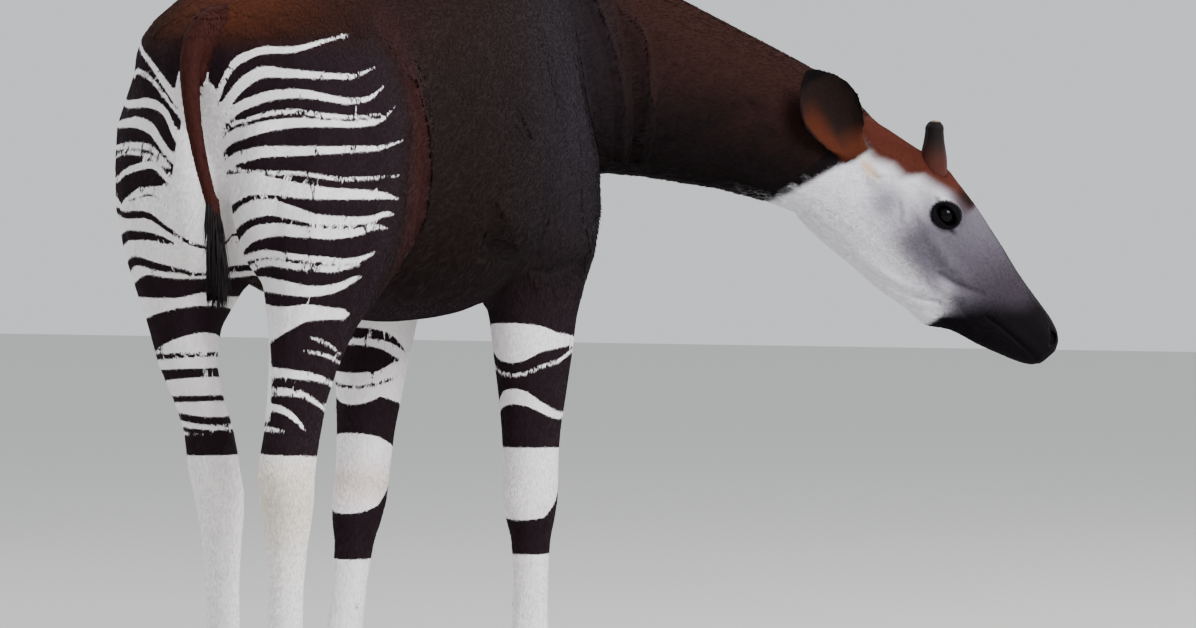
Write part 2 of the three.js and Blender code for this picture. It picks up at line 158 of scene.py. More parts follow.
# Along the head, to its left and above it, all from the poll.
def inHead(co):
    offset = co - poll
    return np.stack([offset @ headForward, offset @ headLeft, offset @ headUp], 1)


# The markings are drawn round the haunch, as distances across the line of sight at this angle.
viewYaw = math.radians(25.345)


def roundBody(body):
    return math.sin(viewYaw) * body[:, 0] + math.cos(viewYaw) * np.abs(body[:, 1])


def millimetres(rows):
    return [tuple(value / 1000 for value in row) for row in rows]


# Straight from row to row, each row starting with its place.
def between(rows, value, column=1):
    rows = np.array(rows)
    return np.interp(value, rows[:, 0], rows[:, column])


# A smooth line through the values at the given places.
def curve(u, places, values):
    steps = np.diff(places)
    slopes = np.diff(values) / steps
    tangents = np.empty(len(places))
    tangents[0], tangents[-1] = slopes[0], slopes[-1]
    tangents[1:-1] = (slopes[:-1] * steps[1:] + slopes[1:] * steps[:-1]) / (steps[1:] + steps[:-1])
    u = np.clip(u, places[0], places[-1])
    index = np.clip(np.searchsorted(places, u) - 1, 0, len(steps) - 1)
    t = (u - places[index]) / steps[index]
    start, end = values[index], values[index + 1]
    bend = (1 - t) * tangents[index] * steps[index] - t * tangents[index + 1] * steps[index]
    line = (1 - t) * start + t * end
    turn = (1 - t) * t
    return line + turn * (bend - (end - start) * (1 - 2 * t))


# How deep a point lies inside the nearest of the lines, below 0 outside them all.
def lineDepth(lines, u, z):
    depth = np.full(len(u), -1.0)
    for line in lines:
        rows = np.array(millimetres(line))
        order = np.argsort(rows[:, 0])
        rows = rows[order]
        middle = curve(u, rows[:, 0], rows[:, 1])
        width = between(rows, u, 2)
        beyond = np.maximum(np.maximum(rows[0, 0] - u, u - rows[-1, 0]), 0)
        depth = np.maximum(depth, width / 2 - np.abs(z - middle) - beyond)
    return depth


# Each line: place round the haunch, height and width in millimetres, from the tail to the flank.
rightHaunch = {
    "white": [
        [(-262, 1135, 26), (-234, 1192, 18), (-196, 1217, 13), (-126, 1224, 10), (-75, 1239, 6),
         (-44, 1249, 2)],
        [(-262, 1105, 30), (-216, 1165, 24), (-187, 1184, 20), (-139, 1184, 14), (-60, 1180, 9),
         (-34, 1180, 8), (0, 1195, 2)],
        [(-262, 1082, 16), (-231, 1120, 18), (-187, 1142, 17), (-117, 1151, 14), (-73, 1144, 11),
         (-38, 1139, 10), (0, 1149, 7), (17, 1166, 2)],
        [(-262, 1066, 5), (-240, 1094, 6), (-205, 1109, 7), (-139, 1122, 7), (-73, 1115, 7),
         (-20, 1113, 5), (10, 1118, 2)],
        [(-262, 1050, 24), (-240, 1075, 22), (-205, 1089, 20), (-130, 1103, 16), (-73, 1102, 11),
         (-16, 1102, 9), (15, 1110, 7), (33, 1130, 2)],
        [(-258, 1018, 20), (-240, 1036, 20), (-198, 1052, 19), (-117, 1057, 15), (-30, 1060, 10),
         (17, 1064, 7), (46, 1075, 2)],
        [(-250, 1030, 5), (-200, 1023, 6), (-117, 1020, 6), (-51, 1011, 6), (0, 1013, 5), (40, 1016, 2)],
        [(-255, 985, 60), (-205, 1002, 36), (-161, 999, 28), (-117, 992, 24), (-60, 987, 18),
         (-7, 985, 15), (20, 983, 10), (38, 978, 3)],
        [(-240, 930, 30), (-216, 952, 30), (-183, 964, 28), (-130, 956, 22), (-95, 946, 17),
         (-51, 943, 14), (-10, 944, 11), (25, 953, 7), (30, 952, 2)],
        [(-232, 885, 26), (-205, 915, 26), (-170, 927, 22), (-117, 925, 18), (-60, 921, 16),
         (-25, 924, 12), (5, 932, 8), (20, 930, 3)],
        [(-212, 880, 12), (-183, 888, 12), (-139, 885, 10), (-90, 880, 9), (-20, 880, 9), (0, 889, 3)],
        [(-210, 860, 12), (-183, 872, 11), (-126, 868, 10), (-60, 864, 10), (-24, 870, 3)],
        [(-205, 838, 22), (-180, 838, 24), (-139, 832, 22), (-95, 827, 17), (-51, 836, 13),
         (-28, 848, 8), (-22, 850, 3)],
        [(-190, 778, 52), (-175, 774, 62), (-139, 782, 40), (-110, 791, 28), (-73, 790, 20),
         (-50, 788, 18)],
        [(-104, 752, 2), (-85, 744, 6), (-68, 733, 6), (-58, 722, 4)],
        [(-115, 729, 2), (-90, 724, 6), (-68, 714, 6), (-55, 702, 4)],
        [(-175, 694, 17), (-122, 689, 14), (-95, 684, 12), (-73, 672, 10), (-60, 658, 7)],
        [(-175, 661, 15), (-140, 661, 12), (-105, 650, 10), (-80, 626, 7), (-66, 604, 4)],
        [(-175, 636, 12), (-149, 631, 12), (-122, 610, 10), (-104, 578, 8), (-98, 562, 6)],
        [(-178, 600, 9), (-160, 598, 7), (-145, 596, 1)],
        [(-85, 640, 1), (-74, 625, 10), (-66, 600, 10)],
    ],
    "columnEdge": [(560, -400), (606, -400), (612, -170), (690, -168), (760, -172), (820, -200),
                   (880, -222), (940, -236), (1000, -246),
                   (1120, -252), (1165, -262), (1185, -300), (1200, -400)],
    "ring": [(-180, 592, 558), (-120, 598, 556), (-90, 600, 552), (-60, 585, 548)],
}
leftHaunch = {
    "white": [
        [(-215, 1130, 30), (-198, 1150, 26), (-154, 1196, 14), (-119, 1221, 9), (-70, 1240, 6),
         (-44, 1249, 2)],
        [(-205, 1115, 12), (-176, 1150, 11), (-132, 1183, 9), (-104, 1190, 9), (-60, 1183, 8),
         (0, 1195, 2)],
        [(-207, 1076, 16), (-176, 1120, 16), (-132, 1137, 16), (-91, 1136, 14), (-38, 1139, 10),
         (17, 1166, 2)],
        [(-207, 1040, 16), (-168, 1080, 18), (-115, 1104, 18), (-84, 1104, 15), (-16, 1105, 9),
         (33, 1130, 2)],
        [(-198, 1032, 8), (-167, 1056, 10), (-115, 1067, 10), (-79, 1065, 9), (-10, 1064, 7),
         (46, 1075, 2)],
        [(-194, 1030, 6), (-154, 1048, 7), (-110, 1054, 6), (-60, 1050, 4), (-20, 1040, 1)],
        [(-207, 1000, 14), (-176, 1029, 12), (-124, 1029, 12), (-79, 1014, 10), (0, 1010, 7),
         (40, 1016, 2)],
    ],
    "columnEdge": [(560, -240), (620, -232), (700, -230), (790, -246), (860, -246), (900, -232),
                   (940, -216), (1000, -203), (1100, -206),
                   (1150, -202), (1185, -214), (1212, -240), (1235, -400)],
    "whiteBelow": [(-260, 990), (-190, 1000), (-132, 996), (-84, 968), (-40, 985), (30, 975)],
    "dark": [
        [(-195, 962, 1), (-176, 978, 3), (-115, 976, 3), (-104, 974, 1)],
        [(-240, 880, 4), (-229, 888, 8), (-190, 926, 11), (-154, 948, 13), (-95, 951, 13),
         (-30, 962, 12), (40, 968, 14)],
        [(-190, 905, 3), (-176, 909, 12), (-97, 917, 17), (-30, 905, 20), (40, 905, 22)],
        [(-242, 816, 5), (-190, 855, 9), (-145, 864, 14), (-100, 874, 16), (-30, 858, 20), (40, 858, 22)],
        [(-240, 818, 3), (-195, 838, 11), (-160, 830, 32), (-120, 832, 40), (-60, 824, 22), (20, 822, 24)],
        [(-250, 780, 6), (-235, 783, 14), (-200, 787, 34), (-150, 772, 46), (-60, 745, 60), (-20, 740, 70)],
        [(-248, 721, 2), (-200, 723, 9), (-160, 718, 8), (-60, 712, 12)],
        [(-245, 703, 3), (-213, 691, 27), (-165, 688, 14), (-60, 680, 20)],
        [(-240, 653, 3), (-190, 647, 9), (-60, 640, 12)],
        [(-240, 638, 3), (-217, 631, 10), (-198, 618, 14), (-60, 612, 14)],
        [(-250, 613, 3), (-226, 606, 8), (-205, 595, 10), (-60, 590, 8)],
    ],
    "ring": [(-285, 609, 564), (-270, 609, 560), (-212, 586, 548), (-60, 580, 545)],
}
# Each line: share across the leg from its back edge to its front edge, height and width.
rightForeleg = {
    "white": [
        [(0, 716, 75), (150, 724, 47), (350, 721, 28), (600, 720, 18), (1000, 711, 20)],
        [(0, 657, 6), (150, 673, 6), (400, 684, 7), (650, 698, 7), (900, 700, 7), (1000, 686, 7)],
        [(0, 626, 30), (150, 606, 20), (400, 590, 15), (650, 586, 12), (1000, 595, 9)],
    ],
    "sleeve": [(0, 530, 400), (300, 530, 405), (600, 528, 432), (1000, 527, 500)],
    "shank": 338,
}
leftForeleg = {
    "dark": [
        [(0, 737, 20), (200, 728, 16), (400, 712, 9), (550, 698, 1)],
        [(0, 690, 52), (150, 688, 40), (300, 688, 14), (450, 686, 2)],
        [(0, 638, 6), (250, 650, 8), (450, 659, 1)],
    ],
    "band": [(0, 606, 559), (200, 623, 553), (500, 613, 540), (1000, 603, 520)],
    "top": 768,
    "sleeve": [(0, 556, 416), (400, 545, 430), (1000, 520, 490)],
    "shank": 336,
}


# How deep a point lies in a band, from rows of place, upper edge and lower edge.
def inBand(rows, u, z):
    rows = millimetres(rows)
    return np.minimum(between(rows, u) - z, z - between(rows, u, 2))


def haunchDepth(table, u, z, x):
    white = lineDepth(table["white"], u, z)
    if "whiteBelow" in table:
        below = between(millimetres(table["whiteBelow"]), u) - z
        white = np.maximum(white, np.minimum(below, 0.03 - u))
        white = np.minimum(white, -lineDepth(table["dark"], u, z))
    column = between(millimetres(table["columnEdge"]), z) - u
    white = np.maximum(white, np.minimum(column, 0.02))
    white = np.minimum(white, -inBand(table["ring"], u, z))
    belowRing = between(millimetres(table["ring"]), u, 2) - z
    white = np.maximum(white, belowRing)
    flank = np.where(z > 0.74, -0.405 - x, -0.33 - x)
    return np.minimum(white, flank)


# The back and the front edge of a foreleg at some heights, where its solids' edges pass them.
legHeights = [0.1, 0.2, 0.3, 0.4, 0.5, 0.6, 0.7, 0.76]


def edgesOf(leg):
    starts, ends = [], []
    for half in ("upper", "lower"):
        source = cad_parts[f"{leg}_{half}"]
        co = inBody(np.array([source.matrix_world @ vertex.co for vertex in source.data.vertices]))
        pairs = np.array([tuple(edge.vertices) for edge in source.data.edges])
        starts.append(co[pairs[:, 0]])
        ends.append(co[pairs[:, 1]])
    start, end = np.concatenate(starts), np.concatenate(ends)
    rows = []
    for height in legHeights:
        passing = (start[:, 2] - height) * (end[:, 2] - height) < 0
        a, b = start[passing], end[passing]
        x = a[:, 0] + (b[:, 0] - a[:, 0]) * (height - a[:, 2]) / (b[:, 2] - a[:, 2])
        rows.append((height, x.min(), x.max()))
    return rows


legEdges = {leg: edgesOf(leg) for leg in ("foreleg_right", "foreleg_left")}


def acrossLeg(leg, x, z):
    back, front = between(legEdges[leg], z), between(legEdges[leg], z, 2)
    return np.clip((x - back) / (front - back), 0, 1)


# How deep a point of the body lies in the white, below 0 in the dark.
allDark = -0.1


def whiteDepth(body):
    x, y, z = body.T
    u = roundBody(body)
    depth = np.full(len(x), allDark)
    behind = x < -0.3
    ahead = x < 0.6
    for side, table in ((-1, rightHaunch), (1, leftHaunch)):
        here = behind & (y * side >= 0)
        depth[here] = haunchDepth(table, u[here], z[here], x[here])
    here = ~behind & ahead & (y < 0) & (z < 0.78)
    t = acrossLeg("foreleg_right", x[here], z[here])
    white = lineDepth(rightForeleg["white"], t, z[here])
    white = np.maximum(white, inBand(rightForeleg["sleeve"], t, z[here]))
    depth[here] = np.maximum(white, rightForeleg["shank"] / 1000 - z[here])
    here = ~behind & ahead & (y >= 0) & (z < 0.8)
    t = acrossLeg("foreleg_left", x[here], z[here])
    white = np.minimum(leftForeleg["top"] / 1000 - z[here], -lineDepth(leftForeleg["dark"], t, z[here]))
    white = np.minimum(white, -inBand(leftForeleg["band"], t, z[here]))
    sleeve = inBand(leftForeleg["sleeve"], t, z[here])
    lower = np.maximum(sleeve, leftForeleg["shank"] / 1000 - z[here])
    white = np.where(z[here] < 0.54, lower, white)
    depth[here] = white
    return np.where(onTail(body), allDark, depth)


# A soft round spot: 1 at its centre, fading over its reach.
def blob(co, centre, reach):
    offset = (co - np.array(centre)) / np.array(reach)
    return np.exp(-(offset ** 2).sum(1))


def mixed(colour, other, share):
    return colour + (np.array(other) - colour) * share[:, None]


ear = {"root": (0.042, 0.063, -0.073), "length": 0.212, "halfWidth": 0.062}
earShape = [(0, 0.30), (0.12, 0.42), (0.35, 0.86), (0.58, 1.0), (0.78, 0.78), (0.92, 0.42), (1, 0.1)]


# Along the ear, across it and out of its open side.
def earAxes(side):
    axis = -0.95 * headForward + 0.17 * headUp + 0.5 * side * headLeft
    axis /= np.linalg.norm(axis)
    across = np.cross(axis, side * headLeft + 0.12 * headUp)
    across /= np.linalg.norm(across)
    return axis, across, np.cross(across, axis)


def inEar(co, side):
    along, out, above = ear["root"]
    root = poll + headForward * along + headLeft * side * out + headUp * above
    axis, across = earAxes(side)[:2]
    offset = co - root
    return offset @ axis / ear["length"], offset @ across


earReach = 0.004
earSurfaces = []
for node in ("ear_left", "ear_right"):
    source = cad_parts[node]
    corners = [source.matrix_world @ vertex.co for vertex in source.data.vertices]
    faces = [tuple(polygon.vertices) for polygon in source.data.polygons]
    earSurfaces.append((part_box(node), BVHTree.FromPolygons(corners, faces)))


def onEar(co):
    found = np.zeros(len(co), bool)
    for side, ((low, high), surface) in zip((1, -1), earSurfaces):
        t = inEar(co, side)[0]
        near = ((co > np.array(low) - earReach) & (co < np.array(high) + earReach)).all(1) & (t > 0.04)
        for index in np.nonzero(near)[0]:
            found[index] = surface.find_nearest(co[index], 1.05 * earReach)[0] is not None
    return found


# The distance of each point from a line of straight pieces.
def toLine(points, line):
    nearest = np.full(len(points), 9.0)
    line = np.array(line)
    for start, end in zip(line[:-1], line[1:]):
        way = end - start
        t = np.clip((points - start) @ way / (way @ way), 0, 1)
        nearest = np.minimum(nearest, np.linalg.norm(points - start - t[:, None] * way, axis=1))
    return nearest


tailLine = np.array([(-0.545, 0, 1.268), (-0.606, 0.01, 1.272), (-0.638, 0.016, 1.25),
                     (-0.653, 0.02, 1.215),
                     (-0.66, 0.02, 1.17), (-0.661, 0.016, 1.13), (-0.66, 0.008, 1.085), (-0.659, 0, 1.04),
                     (-0.655, -0.011, 0.99), (-0.651, -0.022, 0.95), (-0.65, -0.03, 0.86),
                     (-0.645, -0.03, 0.79)])
tailReach = [(0.79, 0.03), (0.93, 0.034), (0.97, 0.018), (1.04, 0.0205),
             (1.13, 0.025), (1.2, 0.031), (1.25, 0.033), (1.3, 0.034)]


def onTail(body):
    close = toLine(body, tailLine) < between(tailReach, body[:, 2])
    return close & ((body[:, 0] < -0.632) | (body[:, 2] > 1.232))


def onFace(co):
    onHead = inHead(co)
    return (inBody(co)[:, 0] > 0.72) & (onHead[:, 0] > 0.0) & (onHead[:, 2] > -0.32)


coatColours = {
    "body": (0.0085, 0.0042, 0.0038),
    "croup": (0.060, 0.017, 0.008),
    # Reddish tint along the flank fold, partly a painted highlight on its ridge.
    "flank": (0.028, 0.0075, 0.007),
    # Painted bluish sheen: a highlight on the shoulders laid into the coat's colour.
    "shoulderSheen": (0.017, 0.014, 0.019),
    # Dark brown of the neck, given to its upward faces: partly painted light.
    "neck": (0.026, 0.0095, 0.0075),
    # Painted shade for the neck's downward faces.
    "neckShade": (0.006, 0.0038, 0.0042),
    "legDark": (0.014, 0.0075, 0.0105),
    "pale": (0.92, 0.88, 0.88),
    "heel": (0.62, 0.50, 0.32),
    "innerLeg": (0.6, 0.42, 0.33),
    "tail": (0.038, 0.0105, 0.0085),
    # Reddish tint of the upper back and rump, lighter partly as painted light from above.
    "back": (0.018, 0.006, 0.0045),
    "tuft": (0.006, 0.004, 0.0045),
    "cheek": (0.84, 0.81, 0.87),
    "faceGrey": (0.135, 0.12, 0.15),
    "bridge": (0.045, 0.036, 0.048),
    "noseLine": (0.03, 0.026, 0.03),
    # Painted shade: a soft grey in the temple's hollow.
    "templeShade": (0.24, 0.225, 0.27),
    "muzzle": (0.005, 0.0035, 0.005),
    "crown": (0.075, 0.018, 0.011),
    "crownDark": (0.008, 0.0045, 0.0045),
    "lid": (0.0045, 0.0035, 0.0045),
    "earBack": (0.014, 0.007, 0.0065),
    "earRim": (0.005, 0.0035, 0.004),
    "earInside": (0.075, 0.019, 0.009),
    # Black hair in the ear's hollow, with painted shadow deep inside.
    "earHollowHairAndShade": (0.016, 0.009, 0.008),
    "cream": (0.75, 0.58, 0.45),
}
# Soft patches of colour: which colour, how much of it, its centre and its reach.
bodyPatches = [
    # Painted bluish sheen on both shoulders.
    ("shoulderSheen", 0.8, (0.36, 0.2, 1.15), (0.22, 0.2, 0.3)),
    # The flank fold: a reddish tint with a painted highlight along the raised ridge.
    ("flank", 0.9, (-0.36, 0.24, 1.05), (0.045, 0.15, 0.25)),
    ("croup", 1.3, (-0.56, 0, 1.33), (0.15, 0.13, 0.13)),
]
facePatches = [
    # Painted shade in the hollow of the temple.
    ("templeShade", 0.9, (0.140, -0.085), (0.035, 0.040)),
    ("faceGrey", 0.5, (0.095, -0.078), (0.020, 0.012)),
    ("faceGrey", 0.75, (0.285, -0.09), (0.045, 0.022)),
    ("cheek", 0.3, (0.335, -0.105), (0.022, 0.02)),
    ("cheek", 0.7, (0.2, 0.004), (0.024, 0.016)),
]
# Edges on the face: rows of above and along for the muzzle, and of along and above for the crown.
muzzleRows = [(-0.17, 0.366), (-0.13, 0.370), (-0.10, 0.376), (-0.07, 0.396),
              (-0.045, 0.425), (-0.02, 0.447), (0.0, 0.452), (0.03, 0.445)]
muzzleSoftness = [(-0.14, 0.006), (-0.11, 0.03), (-0.08, 0.035), (0.0, 0.03)]
crownRows = [(0.0, -0.055), (0.065, -0.054), (0.095, -0.036), (0.125, -0.034), (0.145, -0.008),
             (0.17, 0.0), (0.2, 0.012), (0.225, 0.018), (0.25, 0.02)]
napeRows = [(-0.25, 0.0), (-0.2, 0.014), (-0.11, 0.03), (-0.07, 0.045)]


def faceCoat(onHead):
    along, left, above = onHead.T
    c = coatColours
    face = np.tile(np.array(c["cheek"]), (len(onHead), 1))
    flat = np.stack([along, above], 1)
    grey = smooth(0.125, 0.235, along) * smooth(-0.165, -0.095, above)
    face = mixed(face, c["faceGrey"], grey)
    for name, share, centre, reach in facePatches:
        face = mixed(face, c[name], share * blob(flat, centre, reach))
    face = mixed(face, c["bridge"], smooth(0.26, 0.42, along) * smooth(-0.12, -0.04, above))
    pastEdge = (along - between(muzzleRows, above)) / between(muzzleSoftness, above)
    face = mixed(face, c["muzzle"], smooth(-1, 1, pastEdge))
    crown = smooth(-0.014, 0.020, above - between(crownRows, along)) * smooth(0.262, 0.246, along)
    face = mixed(face, c["crown"], crown)
    face = mixed(face, c["crownDark"], 0.95 * crown * smooth(0.2, 0.235, along))
    noseLine = smooth(0.24, 0.3, along) * smooth(0.03, 0.006, np.abs(left)) * smooth(0.0, 0.02, above)
    face = mixed(face, c["noseLine"], 0.75 * noseLine)
    # Bare dark skin on the lids, drawn out into a line before and behind the eye.
    lidX, lidY = along - head["eyeAlong"], above - head["eyeAbove"]
    ring = np.hypot(lidX, (lidY - 0.1 * lidX) / 0.93)
    ahead = blob(np.stack([lidX - 0.6 * lidY, lidY], 1), (0.034, -0.010), (0.012, 0.005))
    behind = blob(np.stack([lidX, lidY], 1), (-0.031, 0.007), (0.007, 0.005))
    lidShare = np.maximum(smooth(0.0315, 0.0275, ring), np.maximum(0.85 * ahead, 0.7 * behind))
    face = mixed(face, c["lid"], lidShare)
    for fold, width, share in (("mouthFold", 0.0035, 0.55), ("cheekFold", 0.004, 0.35)):
        shadow = np.exp(-(toLine(flat, faceFolds[fold][0]) / width) ** 2)
        face = mixed(face, c["bridge"], share * shadow)
    return face


def earCoat(co, normal, side):
    c = coatColours
    t, across = inEar(co, side)
    half = between(earShape, t) * ear["halfWidth"]
    lowSide = smooth(0.0, 0.6, -across / np.maximum(half, 0.005))
    shade = np.tile(np.array(c["earBack"]), (len(co), 1))
    # The ear's hollow: black hair and painted shadow inside the ear.
    inside = np.tile(np.array(c["earHollowHairAndShade"]), (len(co), 1))
    inside = mixed(inside, c["earInside"], np.maximum(lowSide * smooth(0.8, 0.45, t), smooth(0.32, 0.12, t)))
    facing = normal @ earAxes(side)[2]
    shade = np.where((facing > 0.15)[:, None], inside, shade)
    edge = np.abs(across) / np.maximum(half, 0.005)
    rim = np.maximum(smooth(0.78, 0.93, edge), smooth(0.80, 0.90, t)) * smooth(0.2, 0.35, t)
    return mixed(shade, c["earRim"], rim)


# The coat's colour outside the white markings.
def darkCoat(co, normal):
    body = inBody(co)
    x, z = body[:, 0], body[:, 2]
    c = coatColours
    side = body.copy()
    side[:, 1] = np.abs(side[:, 1])
    colour = np.tile(np.array(c["body"]), (len(co), 1))
    # Upper back and rump: a reddish tint that grows with height, partly painted light on the top.
    colour = mixed(colour, c["back"], 0.8 * smooth(1.1, 1.45, z) * smooth(0.55, -0.2, x))
    for name, share, centre, reach in bodyPatches:
        colour = mixed(colour, c[name], np.clip(share * blob(side, centre, reach), 0, 1))
    colour = mixed(colour, c["legDark"], smooth(-0.38, -0.46, x) * smooth(1.27, 1.2, z))
    colour = mixed(colour, c["legDark"], smooth(0.85, 0.75, z))
    # The neck by its facing: lighter brown where faces turn up, near-black neckShade where they turn down;
    # painted light above, painted shade below, over the neck's dark brown.
    neckShare = smooth(0.5, 0.66, x)
    colour = mixed(colour, c["neck"], neckShare * smooth(-0.5, 0.5, normal[:, 2]))
    colour = mixed(colour, c["neckShade"], neckShare * smooth(0.1, -0.5, normal[:, 2]))
    tail = onTail(body)
    colour = np.where(tail[:, None], np.array(c["tail"]), colour)
    tipShare = np.where(tail, smooth(0.97, 0.93, z), 0)
    colour = mixed(colour, c["tuft"], tipShare)

    onHead = inHead(co)
    along, left, above = onHead.T
    isHead = onFace(co)
    colour = np.where(isHead[:, None], faceCoat(onHead), colour)
    # The cheek's pale edge against the neck, which takes the neck's near-black painted shade here.
    napeShade = isHead * smooth(0.008, -0.004, along - between(napeRows, above)) * smooth(-0.03, -0.05, above)
    colour = mixed(colour, c["neckShade"], napeShade)
    creamSpot = isHead * blob(onHead * [1, 0, 1], (0.072, 0, -0.068), (0.022, 1, 0.010))
    colour = mixed(colour, c["cream"], np.clip(1.2 * creamSpot, 0, 1))
    ears = onEar(co)
    for earSide in (1, -1):
        here = ears & (left * earSide > 0)
        colour = np.where(here[:, None], earCoat(co, normal, earSide), colour)
    return colour


# The colour of the white markings.
def paleCoat(co):
    body = inBody(co)
    x, z = body[:, 0], body[:, 2]
    c = coatColours
    colour = np.tile(np.array(c["pale"]), (len(co), 1))
    back = smooth(-0.50, -0.56, x) * (z < 0.6)
    colour = mixed(colour, c["heel"], 0.5 * back * blob(body * [0, 0, 1], (0, 0, 0.48), (1, 1, 0.09)))
    colour = mixed(colour, c["innerLeg"], 0.6 * blob(body, (0.12, 0.11, 0.47), (0.08, 0.08, 0.03)))
    return colour


def setColours(thing, co, normal, spread=None):
    dark = darkCoat(co, normal)
    pale = paleCoat(co)
    if spread is not None:
        dark *= spread[:, None]
        pale *= (1 - (1 - spread) * 0.35)[:, None]
    for name, colour in (("darkCoat", dark), ("paleCoat", pale)):
        layer = thing.data.attributes.new(name, "FLOAT_COLOR", "POINT")
        rgba = np.ones((len(co), 4))
        rgba[:, :3] = np.clip(colour, 0, 1)
        layer.data.foreach_set("color", rgba.ravel())


def setFloat(thing, name, values):
    layer = thing.data.attributes.new(name, "FLOAT", "POINT")
    layer.data.foreach_set("value", values)


# Folds of the face, along and above: a line, how wide it is and how far it stands out.
faceFolds = {
    "jawCrease": ([(0.18, -0.200), (0.23, -0.190), (0.28, -0.171), (0.32, -0.148),
                   (0.345, -0.128)], 0.0045, -0.0035),
    "jawRoll": ([(0.18, -0.186), (0.23, -0.176), (0.275, -0.158), (0.31, -0.136)], 0.009, 0.003),
    "mouthFold": ([(0.305, -0.093), (0.335, -0.083), (0.362, -0.070), (0.385, -0.056)], 0.005, -0.0035),
    "mouthRoll": ([(0.315, -0.106), (0.345, -0.097), (0.372, -0.085)], 0.010, 0.0035),
    "cheekFold": ([(0.158, -0.066), (0.172, -0.074), (0.184, -0.087)], 0.004, -0.002),
    "earFold": ([(0.088, -0.072), (0.100, -0.066), (0.112, -0.050)], 0.005, -0.003),
    "cheekBone": ([(0.19, -0.050), (0.24, -0.060), (0.30, -0.066), (0.34, -0.062)], 0.012, 0.0035),
    "mouth": ([(0.425, -0.078), (0.455, -0.069), (0.50, -0.062), (0.545, -0.056)], 0.0028, -0.0035),
    "upperLip": ([(0.44, -0.060), (0.50, -0.050), (0.54, -0.044)], 0.009, 0.002),
}
# The lids' rim and furrow: distance from the eye's middle, width, rise and extra rise above the eye.
lid = {"flatness": 0.92, "rim": (0.0255, 0.0035, 0.0018, 0.0022), "furrow": (0.034, 0.003, -0.001, -0.0025)}
# A slanting slit on each side of the nose.
nostril = {"line": [(0.519, 0.004), (0.532, -0.004), (0.541, -0.016)], "width": 0.0045, "depth": 0.007}
# Spots of the face: centre, reach and rise.
faceForms = [
    ((0.232, 0.020), (0.034, 0.009), 0.005),
    ((0.268, -0.012), (0.014, 0.016), -0.003),
    ((0.165, -0.030), (0.028, 0.018), -0.004),
    ((0.30, -0.092), (0.045, 0.014), -0.003),
    ((0.12, -0.135), (0.065, 0.045), 0.005),
    ((0.40, -0.02), (0.05, 0.018), -0.002),
    ((0.505, -0.012), (0.03, 0.015), 0.003),
]
# Folds of the bent neck, on its right side only: line, width and rise.
neckFolds = [
    ([(0.525, -0.153, 1.33), (0.556, -0.181, 1.223), (0.574, -0.185, 1.152),
      (0.628, -0.159, 1.041)], 0.012, 0.010),
    ([(0.575, -0.190, 1.31), (0.590, -0.200, 1.21), (0.603, -0.200, 1.13),
      (0.640, -0.175, 1.05)], 0.011, -0.009),
    ([(0.600, -0.205, 1.30), (0.614, -0.214, 1.25), (0.617, -0.218, 1.169),
      (0.655, -0.189, 1.041)], 0.009, 0.010),
    ([(0.628, -0.228, 1.27), (0.640, -0.230, 1.17), (0.668, -0.205, 1.05)], 0.012, -0.006),
    ([(0.475, -0.160, 1.28), (0.500, -0.160, 1.18), (0.540, -0.155, 1.09),
      (0.60, -0.14, 1.02)], 0.014, -0.006),
    ([(0.667, -0.226, 1.06), (0.699, -0.284, 1.087), (0.728, -0.325, 1.105),
      (0.756, -0.361, 1.138)], 0.012, -0.004),
    ([(0.700, -0.29, 1.03), (0.740, -0.345, 1.05), (0.775, -0.390, 1.08)], 0.014, -0.003),
]
# Folds and forms of the trunk, the same on both sides.
trunkFolds = [
    ([(-0.369, -0.246, 1.17), (-0.345, -0.252, 1.075), (-0.324, -0.247, 1.025), (-0.335, -0.238, 0.941),
      (-0.37, -0.20, 0.87)], 0.015, 0.009),
    ([(-0.325, -0.246, 1.17), (-0.30, -0.252, 1.075), (-0.285, -0.247, 1.025),
      (-0.295, -0.238, 0.94)], 0.018, -0.007),
    ([(-0.023, -0.217, 0.904), (0.097, -0.192, 0.858), (0.255, -0.193, 0.838),
      (0.376, -0.204, 0.855)], 0.014, -0.012),
    ([(0.0, -0.22, 0.94), (0.10, -0.21, 0.90), (0.25, -0.21, 0.88), (0.37, -0.21, 0.90)], 0.022, 0.009),
    ([(0.088, -0.235, 1.085), (-0.023, -0.242, 1.042), (-0.068, -0.236, 0.973),
      (-0.03, -0.22, 0.90)], 0.022, -0.006),
    ([(0.20, -0.21, 1.25), (0.25, -0.22, 1.12), (0.33, -0.22, 1.0)], 0.05, 0.007),
    ([(-0.46, -0.25, 1.10), (-0.50, -0.25, 0.98), (-0.50, -0.23, 0.88)], 0.05, 0.005),
]

ossicone = {"root": (0.152, 0.042, 0.024), "length": 0.092, "footReach": 0.032, "footRise": 0.010}


def fromOssicone(co, side):
    along, out, above = ossicone["root"]
    root = poll + headForward * along + headLeft * side * out + headUp * above
    lean = -0.74 * headForward + 0.67 * headUp + 0.08 * side * headLeft
    lean /= np.linalg.norm(lean)
    offset = co - root
    t = offset @ lean
    return t / ossicone["length"], np.linalg.norm(offset - t[:, None] * lean, axis=1)


